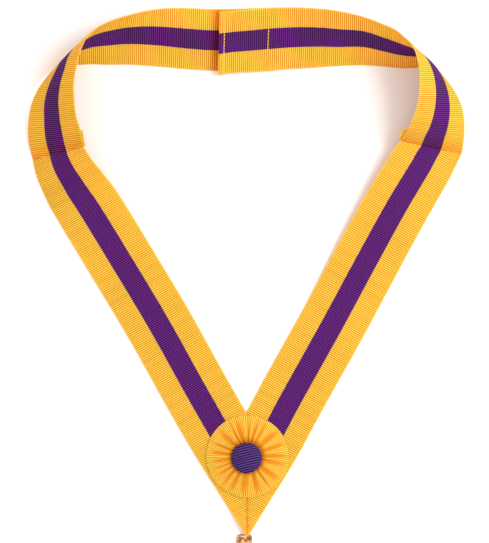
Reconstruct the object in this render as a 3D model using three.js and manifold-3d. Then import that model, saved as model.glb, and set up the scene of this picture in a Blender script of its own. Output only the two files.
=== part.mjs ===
// A lodge officer's ribbon collarette, lying on a table with its neck band standing on edge.
// Millimetres, +Z up, +Y from the point of the V towards the back of the neck.
import * as THREE from "three";
import { mergeVertices } from "three/addons/utils/BufferGeometryUtils.js";
import Module from "manifold-3d";

const wasm = await Module();
wasm.setup();
const { Manifold, Mesh } = wasm;

// The ribbon
const ribbonWidth = 38;
const ribbonWall = 1.2;
const pieceGap = 0.3;

// How far the ribbon reaches as it lies
const lieWidth = 251;
const lieLength = 304;

// The shoulder seams
const seamAllowance = 11;
const allowanceWall = 1;

// The closure at the back of the neck
const closureLeftEnd = 15.5;
const closureRightEnd = -16.8;
const closureFade = 34;
const closureSlip = 1.6;
const closureStand = 0.8;

// The rosette and its button
const rosetteDiameter = 47.2;
const rosetteAt = 46.6;
const rosetteRimRise = 1.4;
const rosetteCrestRise = 2.9;
const rosetteHubRise = 1.6;
const rosetteCrestWidth = 1.2;
const rosetteRimRound = 0.4;
const gatherCount = 24;
const gatherDepth = 1.1;
const buttonDiameter = 17.6;
const buttonRim = 1.9;
const buttonCrown = 3.1;
const buttonChamfer = 0.5;

// The gilt hook under the point
const hookWidth = 8.9;
const hookLength = 25;
const hookWall = 1.6;
const hookTuck = 1.8;
const hookPlate = 5.2;
const hookBand = 2.1;
const hookCorner = 1.4;
const hookBevel = 0.35;
const hookAside = 1.7;

// Where the two front ribbons meet
const pointBlunt = 1;
const pointRiseStart = 3;
const pointRiseLength = 20;

// Where the outer edge of the ribbon runs, as a percentage of half the lying width and of the
// lying length, how high it stands as a percentage of the ribbon's width, which way the ribbon
// goes across from there, how steeply it climbs to its inner edge, and by how much it bends
// outwards over its width, in degrees.
const columns = ["x", "y", "foot", "toward", "lean", "bend"];
const seamRows = {
  left: [-98.2, 71.4, 0, 12, 35, 0],
  right: [98.2, 72.5, 0, 169, 18, 0],
};
const armRows = {
  left: [
    [0, 0, 0, 32, 0, 0],
    [-22.5, 14.6, 0, 32, 0, 0],
    [-35.5, 23.8, 0, 31, 0, 0],
    [-54, 37.5, 0, 30, 0, 0],
    [-74.5, 51.6, 0, 31, 0, 0],
    [-86, 59.5, 0, 29, 8, 0],
    [-90.5, 62.7, 0, 27, 16, 0],
    [-94.5, 66.3, 0, 23, 26, 0],
    [-96.5, 68.4, 0, 21, 30, 0],
  ],
  right: [
    [0, 0, 0, 148, 0, 0],
    [22, 14.6, 0, 148, 0, 0],
    [34, 23.7, 0, 150, 0, 0],
    [52.5, 37.4, 0, 151, 0, 0],
    [71, 51.7, 0, 151, 6, 0],
    [81.5, 59.7, 0, 151, 10, 0],
    [88, 64.4, 0, 151, 14, 0],
    [92.5, 67.7, 0, 151, 17, 0],
  ],
};
const neckRows = [
  [-100, 75, 3, 9, 34, 6],
  [-100, 78.4, 8, 4, 40, 0],
  [-98.5, 81.8, 11, 2, 46, 10],
  [-95.3, 84.8, 10, 3, 54, 12],
  [-90.6, 87.5, 6, 9, 61, 18],
  [-87.6, 88.6, 3, 16, 65, 28],
  [-84, 89.2, 1, 31, 67, 34],
  [-80, 89.4, 0, 50, 67, 38],
  [-76, 89.4, 0, 64, 63, 42],
  [-71, 89.5, 0, 73, 58, 48],
  [-64, 89.4, 0, 80, 51, 52],
  [-55, 89.4, 0, 84, 44, 54],
  [-46, 89.2, 0, 86, 37, 42],
  [-37, 88.9, 0, 87, 32, 22],
  [-27, 88.6, 1, 88, 29, 5],
  [-15, 88.4, 0, 88, 28, 0],
  [-3, 88.3, 0, 88, 25, 8],
  [8, 88.3, 0, 88, 22, 16],
  [19, 88.6, 0, 88, 24, 26],
  [29, 88.8, 0, 89, 30, 26],
  [40, 89.1, 0, 89, 39, 13],
  [52, 89.3, 0, 90, 48, 27],
  [61, 89.1, 0, 93, 55, 16],
  [68, 88.8, 0, 96, 60, 12],
  [73, 88.7, 0, 103, 66, 22],
  [77, 88.8, 0, 114, 71, 30],
  [81, 89, 0, 141, 75, 34],
  [84.5, 88.6, 1, 165, 73, 40],
  [88, 87.6, 3, 177, 68, 42],
  [92, 85.9, 6, 184, 60, 44],
  [96, 83.4, 9, 186, 50, 36],
  [98.5, 80.6, 10, 184, 40, 27],
  [99.3, 77.4, 7, 179, 31, 17],
  [99, 74.8, 3, 174, 23, 4],
];

const colour = { gold: 0xf2b32e, violet: 0x56217a, gilt: 0xc08a4a };
const grosgrain = new THREE.MeshStandardMaterial({ color: colour.gold, roughness: 0.6 });
grosgrain.name = "ribbon";
const rosetteCloth = new THREE.MeshStandardMaterial({ color: colour.gold, roughness: 0.6 });
rosetteCloth.name = "rosette";
const buttonCloth = new THREE.MeshStandardMaterial({ color: colour.violet, roughness: 0.6 });
buttonCloth.name = "button";
const gilt = new THREE.MeshStandardMaterial({
  color: colour.gilt,
  roughness: 0.3,
  metalness: 1,
});
gilt.name = "gilt";

const smooth = (from, to, value) => {
  const t = THREE.MathUtils.clamp((value - from) / (to - from), 0, 1);
  return t * t * (3 - 2 * t);
};

// One station of the ribbon: the foot of its outer edge, the direction across it and its bend.
function stationOf(row) {
  const cell = Object.fromEntries(columns.map((name, i) => [name, row[i]]));
  const toward = THREE.MathUtils.degToRad(cell.toward);
  const lean = THREE.MathUtils.degToRad(cell.lean);
  return {
    foot: new THREE.Vector3(
      (cell.x / 100) * (lieWidth / 2),
      (cell.y / 100) * lieLength,
      (cell.foot / 100) * ribbonWidth,
    ),
    across: new THREE.Vector3(
      Math.cos(lean) * Math.cos(toward),
      Math.cos(lean) * Math.sin(toward),
      Math.sin(lean),
    ),
    bend: THREE.MathUtils.degToRad(cell.bend),
  };
}

// A smooth path through the stations, measured along the outer edge. Nowhere does it dip into
// the table.
function pathThrough(rows) {
  const knots = rows.map(stationOf);
  const at = [0];
  for (let i = 1; i < knots.length; i++) {
    at.push(at[i - 1] + knots[i].foot.distanceTo(knots[i - 1].foot));
  }
  const station = (s) => {
    let i = 0;
    while (i < knots.length - 2 && s > at[i + 1]) {
      i += 1;
    }
    const before = Math.max(i - 1, 0);
    const after = Math.min(i + 2, knots.length - 1);
    const span = at[i + 1] - at[i];
    const t = THREE.MathUtils.clamp((s - at[i]) / span, 0, 1);
    const pass = 3 * t ** 2 - 2 * t ** 3;
    const leave = ((t ** 3 - 2 * t ** 2 + t) * span) / (at[i + 1] - at[before]);
    const arrive = ((t ** 3 - t ** 2) * span) / (at[after] - at[i]);
    const shares = [
      [before, -leave],
      [i, 1 - pass - arrive],
      [i + 1, pass + leave],
      [after, arrive],
    ];
    const foot = new THREE.Vector3();
    const across = new THREE.Vector3();
    let bend = 0;
    for (const [knot, share] of shares) {
      foot.addScaledVector(knots[knot].foot, share);
      across.addScaledVector(knots[knot].across, share);
      bend += knots[knot].bend * share;
    }
    foot.z = Math.max(foot.z, 0);
    across.z = Math.max(across.z, 0);
    return { foot, across: across.normalize(), bend };
  };
  return { station, length: at[at.length - 1] };
}

// A place across a ribbon that bends evenly over its width, as seen from its chord.
function arcPlace(bend, v) {
  const half = bend / 2 || 1e-6;
  const radius = ribbonWidth / (2 * half);
  const turn = half * (2 * v - 1);
  return {
    turn,
    run: radius * (Math.sin(half) + Math.sin(turn)),
    rise: radius * (Math.cos(turn) - Math.cos(half)),
  };
}

// The ribbon's middle surface: s runs along it, v goes from its outer edge to its inner one.
function surfaceOf(path) {
  const middle = (s) => {
    const { foot, across } = path.station(s);
    return foot.clone().addScaledVector(across, ribbonWidth / 2);
  };
  return (s, v) => {
    const { foot, across, bend } = path.station(s);
    const step = 0.5;
    const ahead = middle(Math.min(s + step, path.length));
    const along = ahead.sub(middle(Math.max(s - step, 0))).normalize();
    const out = across.clone().cross(along).normalize();
    const { turn, run, rise } = arcPlace(bend, v);
    const face = out.clone().multiplyScalar(Math.cos(turn)).addScaledVector(across, Math.sin(turn));
    const point = foot.clone().addScaledVector(across, run).addScaledVector(out, rise);
    point.z += Math.abs(face.z) * (ribbonWall / 2);
    return { point, face, across };
  };
}

// A closed wall between two grids of points that have the same rows and columns.
function wallBetween(upper, lower) {
  const rows = upper.length;
  const cols = upper[0].length;
  const positions = [];
  for (const grid of [upper, lower]) {
    for (const line of grid) {
      for (const p of line) {
        positions.push(p.x, p.y, p.z);
      }
    }
  }
  const top = (i, j) => i * cols + j;
  const low = (i, j) => rows * cols + i * cols + j;
  const faces = [];
  const quad = (a, b, c, d) => faces.push(a, b, c, a, c, d);
  for (let i = 0; i < rows - 1; i++) {
    for (let j = 0; j < cols - 1; j++) {
      quad(top(i, j), top(i, j + 1), top(i + 1, j + 1), top(i + 1, j));
      quad(low(i, j), low(i + 1, j), low(i + 1, j + 1), low(i, j + 1));
    }
    quad(top(i, 0), top(i + 1, 0), low(i + 1, 0), low(i, 0));
    quad(top(i, cols - 1), low(i, cols - 1), low(i + 1, cols - 1), top(i + 1, cols - 1));
  }
  for (let j = 0; j < cols - 1; j++) {
    quad(top(0, j), low(0, j), low(0, j + 1), top(0, j + 1));
    quad(top(rows - 1, j), top(rows - 1, j + 1), low(rows - 1, j + 1), low(rows - 1, j));
  }
  const geometry = new THREE.BufferGeometry();
  geometry.setAttribute("position", new THREE.Float32BufferAttribute(positions, 3));
  geometry.setIndex(faces);
  return geometry;
}

// A wall of even thickness about a middle surface, sampled at the given places.
function wallOn(surface, places, shares, wall) {
  const upper = [];
  const lower = [];
  for (const s of places) {
    const samples = shares.map((v) => surface(s, v));
    upper.push(samples.map((q) => q.point.clone().addScaledVector(q.face, wall / 2)));
    lower.push(samples.map((q) => q.point.clone().addScaledVector(q.face, -wall / 2)));
  }
  return wallBetween(upper, lower);
}

const evenly = (from, to, count) =>
  Array.from({ length: count + 1 }, (_, i) => THREE.MathUtils.lerp(from, to, i / count));

function toManifold(geometry) {
  const bare = geometry.clone();
  bare.deleteAttribute("normal");
  bare.deleteAttribute("uv");
  const welded = mergeVertices(bare, 1e-4);
  return new Manifold(
    new Mesh({
      numProp: 3,
      vertProperties: new Float32Array(welded.attributes.position.array),
      triVerts: new Uint32Array(welded.index.array),
    }),
  );
}

function fromManifold(solid) {
  const mesh = solid.getMesh();
  const geometry = new THREE.BufferGeometry();
  geometry.setAttribute("position", new THREE.BufferAttribute(mesh.vertProperties, 3));
  geometry.setIndex(new THREE.BufferAttribute(mesh.triVerts, 1));
  return geometry;
}

const model = new THREE.Group();
model.name = "collarette";

function add(name, geometry, material) {
  const mesh = new THREE.Mesh(geometry, material);
  mesh.name = name;
  model.add(mesh);
  return mesh;
}

// The front ribbons lie flat, meet in a mitre down the middle of the V and climb at the
// shoulders. Their point rides over the hook.
const sides = { left: -1, right: 1 };
const armStations = 40;
const armShares = evenly(0, 1, 5);
const pointRise = hookWall + pieceGap;
const pointRiseFrom = hookTuck + pointRiseStart;
const pointRiseTo = Math.min(pointRiseLength, rosetteAt - rosetteDiameter / 2 - pieceGap);
const pathOfArm = {};
const surfaceOfArm = {};
for (const side of Object.keys(sides)) {
  const path = pathThrough([...armRows[side], seamRows[side]]);
  const lying = surfaceOf(path);
  pathOfArm[side] = path;
  surfaceOfArm[side] = (s, v) => {
    const spot = lying(s, v);
    spot.point.z += pointRise * (1 - smooth(pointRiseFrom, pointRiseTo, spot.point.y));
    return spot;
  };
}

// The neck band goes from the left shoulder seam round the back to the right one.
const neckPath = pathThrough([seamRows.left, ...neckRows, seamRows.right]);
const neckSurface = surfaceOf(neckPath);

// Where the neck band's foot passes a given x at the back of the neck.
function neckPlaceAt(x) {
  let low = neckPath.length * 0.25;
  let high = neckPath.length * 0.75;
  for (let i = 0; i < 40; i++) {
    const middle = (low + high) / 2;
    if (neckPath.station(middle).foot.x < x) {
      low = middle;
    } else {
      high = middle;
    }
  }
  return (low + high) / 2;
}
const leftEnd = neckPlaceAt(closureLeftEnd);
const rightEnd = neckPlaceAt(closureRightEnd);

// The two ends overlap at the back: the right one lies on the left one and hangs a little lower.
const surfaceOfNeck = {
  left: neckSurface,
  right: (s, v) => {
    const spot = neckSurface(s, v);
    const hold = 1 - smooth(leftEnd, leftEnd + closureFade, s);
    const stand = 1 - smooth(rightEnd, leftEnd, s);
    const rise = (ribbonWall + pieceGap) * hold + closureStand * stand;
    spot.point.addScaledVector(spot.face, -rise);
    spot.point.addScaledVector(spot.across, -closureSlip * stand);
    return spot;
  },
};

// At a shoulder seam both ribbons end on the same slanting line, facing the same way, with a
// gap between them.
const seamPlace = { left: 0, right: neckPath.length };
const seamOf = {};
for (const side of Object.keys(sides)) {
  const arm = surfaceOfArm[side](pathOfArm[side].length, 0.5);
  const neck = neckSurface(seamPlace[side], 0.5);
  const armFace = arm.face.z < 0 ? arm.face.negate() : arm.face;
  const face = armFace.add(neck.face).normalize();
  const away = face.clone().cross(arm.across).normalize();
  if (away.y < 0) {
    away.negate();
  }
  seamOf[side] = { face, away };
}

// A ribbon's surface whose end on a seam faces as the seam does and stands back from it.
function endingOn(surface, seam, place, shift) {
  return (s, v) => {
    const spot = surface(s, v);
    if (s === place) {
      spot.face = seam.face;
      spot.point.addScaledVector(seam.away, shift);
    }
    return spot;
  };
}

for (const [side, sign] of Object.entries(sides)) {
  const path = pathOfArm[side];
  const surface = endingOn(surfaceOfArm[side], seamOf[side], path.length, -pieceGap / 2);
  const strip = wallOn(surface, evenly(0, path.length, armStations), armShares, ribbonWall);
  const half = new THREE.BoxGeometry(lieWidth, lieLength, 4 * ribbonWidth);
  half.translate(sign * (lieWidth / 2 + pieceGap / 2), lieLength / 2 + pointBlunt, 0);
  const cut = toManifold(strip).intersect(toManifold(half));
  add(`front_ribbon_${side}`, fromManifold(cut), grosgrain);
}

const neckStations = 46;
const neckShares = evenly(0, 1, 8);
const neckRuns = { left: [0, leftEnd], right: [rightEnd, neckPath.length] };
for (const side of Object.keys(sides)) {
  const [from, to] = neckRuns[side];
  const shift = pieceGap / 2;
  const surface = endingOn(surfaceOfNeck[side], seamOf[side], seamPlace[side], shift);
  const places = evenly(from, to, neckStations);
  add(`neck_ribbon_${side}`, wallOn(surface, places, neckShares, ribbonWall), grosgrain);
}

// The turned-back end of each neck ribbon lies under it along the seam and peeps out inwards.
const allowanceRows = {
  left: { outer: 0.3, innerAtSeam: 1.012, innerAtEnd: 1.02 },
  right: { outer: 0.3, innerAtSeam: 1.02, innerAtEnd: 1.07 },
};
for (const side of Object.keys(sides)) {
  const row = allowanceRows[side];
  const start = pieceGap + ribbonWall / 2;
  const below = (ribbonWall + allowanceWall) / 2 + pieceGap;
  const surface = (s, share) => {
    const far = (s - start) / (seamAllowance - start);
    const inner = THREE.MathUtils.lerp(row.innerAtSeam, row.innerAtEnd, far);
    const v = THREE.MathUtils.lerp(row.outer, inner, share);
    const spot = neckSurface(seamPlace[side] - sides[side] * s, v);
    spot.point.addScaledVector(spot.face, -below);
    return spot;
  };
  const places = evenly(start, seamAllowance, 4);
  const ordered = side === "left" ? places : places.reverse();
  add(`seam_allowance_${side}`, wallOn(surface, ordered, evenly(0, 1, 6), allowanceWall), grosgrain);
}

// A body whose cross-sections are closed loops, set in a closed ring about the vertical axis.
function ringBody(sections) {
  const around = sections.length;
  const count = sections[0].length;
  const positions = sections.flat().flatMap((p) => [p.x, p.y, p.z]);
  const at = (i, j) => (i % around) * count + (j % count);
  const faces = [];
  for (let i = 0; i < around; i++) {
    for (let j = 0; j < count; j++) {
      faces.push(at(i, j), at(i + 1, j), at(i + 1, j + 1));
      faces.push(at(i, j), at(i + 1, j + 1), at(i, j + 1));
    }
  }
  const geometry = new THREE.BufferGeometry();
  geometry.setAttribute("position", new THREE.Float32BufferAttribute(positions, 3));
  geometry.setIndex(faces);
  return geometry;
}

// The rosette: a ring of ribbon drawn up into radial gathers that deepen towards the button.
function rosette() {
  const outer = rosetteDiameter / 2;
  const hub = buttonDiameter / 2 + pieceGap;
  const bore = 0.6 * hub;
  const crest = hub + rosetteCrestWidth;
  const rimDepthShare = 0.12;
  const rise = (r) => {
    if (r <= hub) {
      return rosetteHubRise;
    }
    if (r <= crest) {
      return THREE.MathUtils.lerp(rosetteHubRise, rosetteCrestRise, (r - hub) / (crest - hub));
    }
    return THREE.MathUtils.lerp(rosetteCrestRise, rosetteRimRise, (r - crest) / (outer - crest));
  };
  const depth = (r) => {
    const share = THREE.MathUtils.clamp((outer - r) / (outer - crest), 0, 1);
    return r <= hub ? 0 : (gatherDepth / 2) * THREE.MathUtils.lerp(rimDepthShare, 1, share);
  };
  const fold = (angle) => Math.cos(gatherCount * (angle + 0.03 * Math.sin(5 * angle)));
  const radii = [outer, 0.93 * outer, 0.8 * outer, 0.66 * outer, crest, hub, bore];
  const steps = gatherCount * 6;
  const sections = [];
  for (let i = 0; i < steps; i++) {
    const angle = (2 * Math.PI * i) / steps;
    const point = (r, z) => new THREE.Vector3(r * Math.cos(angle), r * Math.sin(angle), z);
    const rim = [point(outer - rosetteRimRound, 0), point(outer, rosetteRimRound)];
    const low = [point(bore, 0), ...rim];
    const top = radii.map((r) => point(r, rise(r) - depth(r) * (1 - fold(angle))));
    sections.push([...low, ...top]);
  }
  return ringBody(sections);
}

// The covered button: a low dome on the rosette's hub.
function button() {
  const radius = buttonDiameter / 2;
  const profile = [new THREE.Vector2(0, 0), new THREE.Vector2(radius - buttonChamfer, 0)];
  profile.push(new THREE.Vector2(radius, buttonChamfer));
  const steps = 6;
  for (let i = 0; i <= steps; i++) {
    const turn = (Math.PI / 2) * (i / steps);
    const x = i === steps ? 0 : radius * Math.cos(turn);
    profile.push(new THREE.Vector2(x, buttonRim + buttonCrown * Math.sin(turn)));
  }
  const geometry = new THREE.LatheGeometry(profile, 40);
  geometry.rotateX(Math.PI / 2);
  return geometry;
}

const rosetteFloor = ribbonWall + pieceGap;
add("rosette", rosette(), rosetteCloth).position.set(0, rosetteAt, rosetteFloor);
const buttonFloor = rosetteFloor + rosetteHubRise + pieceGap;
add("rosette_button", button(), buttonCloth).position.set(0, rosetteAt, buttonFloor);

// The hook: a flat gilt plate under the point that opens into a long plain loop.
function hook() {
  const half = hookWidth / 2;
  const end = hookTuck - hookLength;
  const side = half - hookCorner;
  const shoulder = hookTuck - hookCorner;
  const outline = new THREE.Shape();
  outline.moveTo(-half, shoulder);
  outline.lineTo(-half, end + half);
  outline.absarc(0, end + half, half, Math.PI, 2 * Math.PI, false);
  outline.lineTo(half, shoulder);
  outline.absarc(side, shoulder, hookCorner, 0, Math.PI / 2, false);
  outline.lineTo(-side, hookTuck);
  outline.absarc(-side, shoulder, hookCorner, Math.PI / 2, Math.PI, false);
  const inner = half - hookBand;
  const slot = new THREE.Path();
  slot.moveTo(inner, -hookPlate - inner);
  slot.absarc(0, -hookPlate - inner, inner, 0, Math.PI, false);
  slot.lineTo(-inner, end + half);
  slot.absarc(0, end + half, inner, Math.PI, 2 * Math.PI, false);
  slot.lineTo(inner, -hookPlate - inner);
  outline.holes.push(slot);
  const geometry = new THREE.ExtrudeGeometry(outline, {
    depth: hookWall - 2 * hookBevel,
    bevelEnabled: true,
    bevelThickness: hookBevel,
    bevelSize: hookBevel,
    bevelOffset: -hookBevel,
    bevelSegments: 2,
    curveSegments: 10,
  });
  geometry.translate(-hookAside, 0, hookBevel);
  return geometry;
}
add("jewel_hook", hook(), gilt);

// The origin is on the table, under the middle of the whole.
const bounds = new THREE.Box3().setFromObject(model);
const middle = bounds.getCenter(new THREE.Vector3());
model.position.set(-middle.x, -middle.y, -bounds.min.z);
model.updateMatrixWorld(true);

export default model;
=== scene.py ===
"""A ribbon collarette lying on a white table, seen from straight above."""

import math

import bmesh
import bpy
import numpy as np
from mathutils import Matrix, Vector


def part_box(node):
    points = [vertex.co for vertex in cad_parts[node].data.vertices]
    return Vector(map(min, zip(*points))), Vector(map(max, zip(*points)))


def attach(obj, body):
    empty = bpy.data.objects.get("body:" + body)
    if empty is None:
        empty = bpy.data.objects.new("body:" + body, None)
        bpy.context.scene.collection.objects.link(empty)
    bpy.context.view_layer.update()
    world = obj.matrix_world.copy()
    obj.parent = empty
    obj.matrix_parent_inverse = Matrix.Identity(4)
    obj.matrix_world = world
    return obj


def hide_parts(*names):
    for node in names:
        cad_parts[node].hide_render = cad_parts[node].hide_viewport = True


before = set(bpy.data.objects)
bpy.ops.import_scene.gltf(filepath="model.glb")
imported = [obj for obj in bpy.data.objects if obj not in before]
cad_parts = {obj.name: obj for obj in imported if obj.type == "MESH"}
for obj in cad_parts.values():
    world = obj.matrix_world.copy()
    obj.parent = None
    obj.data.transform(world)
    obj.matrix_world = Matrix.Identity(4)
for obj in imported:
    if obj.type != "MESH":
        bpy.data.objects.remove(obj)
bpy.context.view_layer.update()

MM = 0.001

# The ribbon
RIBBON_WIDTH = 38 * MM
CAD_WALL = 1.2 * MM
PIECE_GAP = 0.3 * MM
CLOTH_WALL = 0.55 * MM
RIB_PITCH = 1.18 * MM
RIB_HEIGHT = 0.26 * MM
SAMPLES_PER_RIB = 6
STRIPE_FROM = 0.338
STRIPE_TO = 0.665
STRIPE_BLUR = 0.002
STRIPE_JITTER = 0.008
WARP_THREADS = 88
HOLLOW_POWER = 0.6
NARROW_POWER = 0.42
CLOTH_SHARE_THROUGH = 0.4
PATCH_CONTRAST = 0.16
STREAK_CONTRAST = 0.12
OWN_CONTRAST = 0.2
THREAD_CONTRAST = 0.03
SELVEDGE_ROUND = 0.55 * MM
SELVEDGE_THIN = 0.15
SELVEDGE_SCALLOP = 0.07 * MM
SELVEDGE_FROM = 0.487
SELVEDGE_TO = 0.497
SELVEDGE_SHARE = 0.75
WELD = 0.002 * MM

# How far the ribbon reaches as it lies
LIE_WIDTH = 251 * MM
LIE_LENGTH = 304 * MM

# The seams
MITRE_GAP = 0.02 * MM
MITRE_ROLL = 0.12 * MM
MITRE_ROLL_WIDTH = 0.8 * MM
SEAM_DIP = 0.7 * MM
SEAM_DIP_AT_FOOT = 0.35
SEAM_TURN = 1.5 * MM
SEAM_DIP_ON_ARM = 1.8 * MM
SEAM_DIP_ON_NECK = 6 * MM
SEAM_ALLOWANCE = 11 * MM
ALLOWANCE_BELOW = 0.35 * MM
ALLOWANCE_THIN = 0.8
ARM_SEAM_SHADE_WIDTH = 0.4 * MM
ARM_SEAM_SHADE = 0.5
NECK_SEAM_SHADE_WIDTH = 6 * MM
NECK_SEAM_SHADE = 0.75
MITRE_LINE_WIDTH = 0.24 * MM

# The closure at the back of the neck
CLOSURE_LEFT_END = 15.5 * MM
CLOSURE_RIGHT_END = -16.8 * MM
CLOSURE_FADE = 34 * MM
CLOSURE_SLIP = 1 * MM
CLOSURE_STAND = 0.8 * MM
CLOSURE_LIFT = 2 * MM
CLOSURE_LIFT_REACH = 9 * MM
CLOSURE_LIFT_AT_FOOT = 1.2
CLOSURE_LIFT_LOST_ACROSS = 0.9
CLOSURE_TUCK = 0.6 * MM
CLOSURE_SHADE_AT = 1 * MM
CLOSURE_SHADE_WIDTH = 3.4 * MM
STITCH_ROWS_AT = (-13.9 * MM, 11.4 * MM)
STITCH_PITCH = 2.0 * MM
STITCH_LENGTH = 1.75 * MM
STITCH_POINTS = 7
STITCH_ARCH = 1.3
STITCH_SUNK = 0.9
THREAD_RADIUS = 0.26 * MM
STITCH_DENT = 0.22 * MM
STITCH_DENT_WIDTH = 0.8 * MM
STITCH_SHADE_WIDTH = 0.5 * MM
STITCH_SHADE = 0.2
LOOSE_RADIUS = 0.11 * MM
LOOSE_SAG = 0.4
LOOSE_CURL = 0.25

# The rosette, its button and the hook
ROSETTE_RADIUS = 23.6 * MM
ROSETTE_AT = 46.6 * MM
ROSETTE_FLOOR = 1.05 * MM
ROSETTE_RIBS = 126
ROSETTE_WALL = 0.45 * MM
ROSETTE_GATHERS = 21
ROSETTE_SEED = 7
ROSETTE_BEARINGS = 1000
GATHER_WIDTHS = (0.55, 1.5)
GATHER_DEPTHS = (0.5, 1.0)
GATHER_REACHES = (0.3, 1.0)
GATHER_LEANS = (-0.22, 0.22)
GATHER_DEPTH = 1.5 * MM
GATHER_FLOOR = 0.25 * MM
HUB_TUCK = 1.2 * MM
HUB_HEIGHT = 1.9 * MM
CREST_OUT = 1.6 * MM
CREST_HEIGHT = 2.9 * MM
RIM_FALL = 2.15 * MM
RIM_WOBBLE = 0.22 * MM
RIM_SCALLOP = 0.09 * MM
RIM_TURN_DOWN = 0.2 * MM
BUTTON_RADIUS = 8.75 * MM
BUTTON_FLOOR = 3.4 * MM
BUTTON_RIM = 1.6 * MM
BUTTON_CROWN = 3.3 * MM
BUTTON_DOME_POWER = 1.15
BUTTON_SIDE_SHARES = (1.0, 0.985, 0.93)
BUTTON_SIDE_HEIGHTS = (0.9 * MM, 0.35 * MM, 0.0)
BUTTON_ASIDE = (-0.35 * MM, -0.6 * MM)
BUTTON_RIB_PITCH = 1.36 * MM
BUTTON_RIB_TURN = math.radians(13)
BUTTON_RIB_SHIFT = 0.3 * MM
BUTTON_RIB_HEIGHT = 0.3 * MM
BUTTON_RIB_BOW = 0.4 * MM
HOOK_WIDTH = 8.9 * MM
HOOK_LENGTH = 25 * MM
HOOK_WALL = 1.6 * MM
HOOK_TUCK = 1.8 * MM
HOOK_PLATE = 5.2 * MM
HOOK_BAND = 2.1 * MM
HOOK_CORNER = 1.4 * MM
HOOK_ASIDE = 1.7 * MM
HOOK_ROUND = 0.7 * MM
HOOK_TOP_LOSS = 0.15 * MM
HOOK_UNDER_LOSS = 0.02 * MM
HOOK_RIDGE = 0.18 * MM
HOOK_RIDGE_AT = 1.6 * MM
HOOK_RIDGE_WIDTH = 0.55 * MM
POINT_BLUNT = 1 * MM
POINT_RISE_START = 3 * MM
POINT_RISE_LENGTH = 20 * MM

# The point of the V, found from the two front ribbons
left_low, left_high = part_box("front_ribbon_left")
right_low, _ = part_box("front_ribbon_right")
POINT_X = (left_high[0] + right_low[0]) / 2
POINT_Y = min(left_low[1], right_low[1]) - POINT_BLUNT

# The photograph: how big it is, where the V's point is in it and what a pixel is worth
PHOTO_SIZE = (489, 543)
PHOTO_POINT = (247.2, 537.3)
PIXEL = 0.575 * MM
CAMERA_HEIGHT = 1.5
SENSOR_WIDTH = 36


def make_camera():
    data = bpy.data.cameras.new("camera")
    camera = bpy.data.objects.new("camera", data)
    bpy.context.collection.objects.link(camera)
    data.sensor_fit = "HORIZONTAL"
    data.sensor_width = SENSOR_WIDTH
    data.lens = SENSOR_WIDTH * CAMERA_HEIGHT / (PHOTO_SIZE[0] * PIXEL)
    data.clip_end = 10
    camera.location = (
        POINT_X + (PHOTO_SIZE[0] / 2 - PHOTO_POINT[0]) * PIXEL,
        POINT_Y + (PHOTO_POINT[1] - PHOTO_SIZE[1] / 2) * PIXEL,
        CAMERA_HEIGHT,
    )
    bpy.context.scene.camera = camera


make_camera()

# The same stations as the solids have: where the outer edge runs, as a percentage of half the
# lying width and of the lying length, how high it stands as a percentage of the ribbon's width,
# which way the ribbon goes across, how steeply it climbs and by how much it bends outwards over
# its width, in degrees. The rows of the neck, and those next to the shoulder seams, follow a
# computed fit of an unstretched ribbon to the photo's edges. The others were read off the photo.
SEAM_ROWS = {
    "left": (-98.2, 71.4, 0, 12, 35, 0),
    "right": (98.2, 72.5, 0, 169, 18, 0),
}
ARM_ROWS = {
    "left": [
        (0, 0, 0, 32, 0, 0),
        (-22.5, 14.6, 0, 32, 0, 0),
        (-35.5, 23.8, 0, 31, 0, 0),
        (-54, 37.5, 0, 30, 0, 0),
        (-74.5, 51.6, 0, 31, 0, 0),
        (-86, 59.5, 0, 29, 8, 0),
        (-90.5, 62.7, 0, 27, 16, 0),
        (-94.5, 66.3, 0, 23, 26, 0),
        (-96.5, 68.4, 0, 21, 30, 0),
    ],
    "right": [
        (0, 0, 0, 148, 0, 0),
        (22, 14.6, 0, 148, 0, 0),
        (34, 23.7, 0, 150, 0, 0),
        (52.5, 37.4, 0, 151, 0, 0),
        (71, 51.7, 0, 151, 6, 0),
        (81.5, 59.7, 0, 151, 10, 0),
        (88, 64.4, 0, 151, 14, 0),
        (92.5, 67.7, 0, 151, 17, 0),
    ],
}
NECK_ROWS = [
    (-100, 75, 3, 9, 34, 6),
    (-100, 78.4, 8, 4, 40, 0),
    (-98.5, 81.8, 11, 2, 46, 10),
    (-95.3, 84.8, 10, 3, 54, 12),
    (-90.6, 87.5, 6, 9, 61, 18),
    (-87.6, 88.6, 3, 16, 65, 28),
    (-84, 89.2, 1, 31, 67, 34),
    (-80, 89.4, 0, 50, 67, 38),
    (-76, 89.4, 0, 64, 63, 42),
    (-71, 89.5, 0, 73, 58, 48),
    (-64, 89.4, 0, 80, 51, 52),
    (-55, 89.4, 0, 84, 44, 54),
    (-46, 89.2, 0, 86, 37, 42),
    (-37, 88.9, 0, 87, 32, 22),
    (-27, 88.6, 1, 88, 29, 5),
    (-15, 88.4, 0, 88, 28, 0),
    (-3, 88.3, 0, 88, 25, 8),
    (8, 88.3, 0, 88, 22, 16),
    (19, 88.6, 0, 88, 24, 26),
    (29, 88.8, 0, 89, 30, 26),
    (40, 89.1, 0, 89, 39, 13),
    (52, 89.3, 0, 90, 48, 27),
    (61, 89.1, 0, 93, 55, 16),
    (68, 88.8, 0, 96, 60, 12),
    (73, 88.7, 0, 103, 66, 22),
    (77, 88.8, 0, 114, 71, 30),
    (81, 89, 0, 141, 75, 34),
    (84.5, 88.6, 1, 165, 73, 40),
    (88, 87.6, 3, 177, 68, 42),
    (92, 85.9, 6, 184, 60, 44),
    (96, 83.4, 9, 186, 50, 36),
    (98.5, 80.6, 10, 184, 40, 27),
    (99.3, 77.4, 7, 179, 31, 17),
    (99, 74.8, 3, 174, 23, 4),
]


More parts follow.
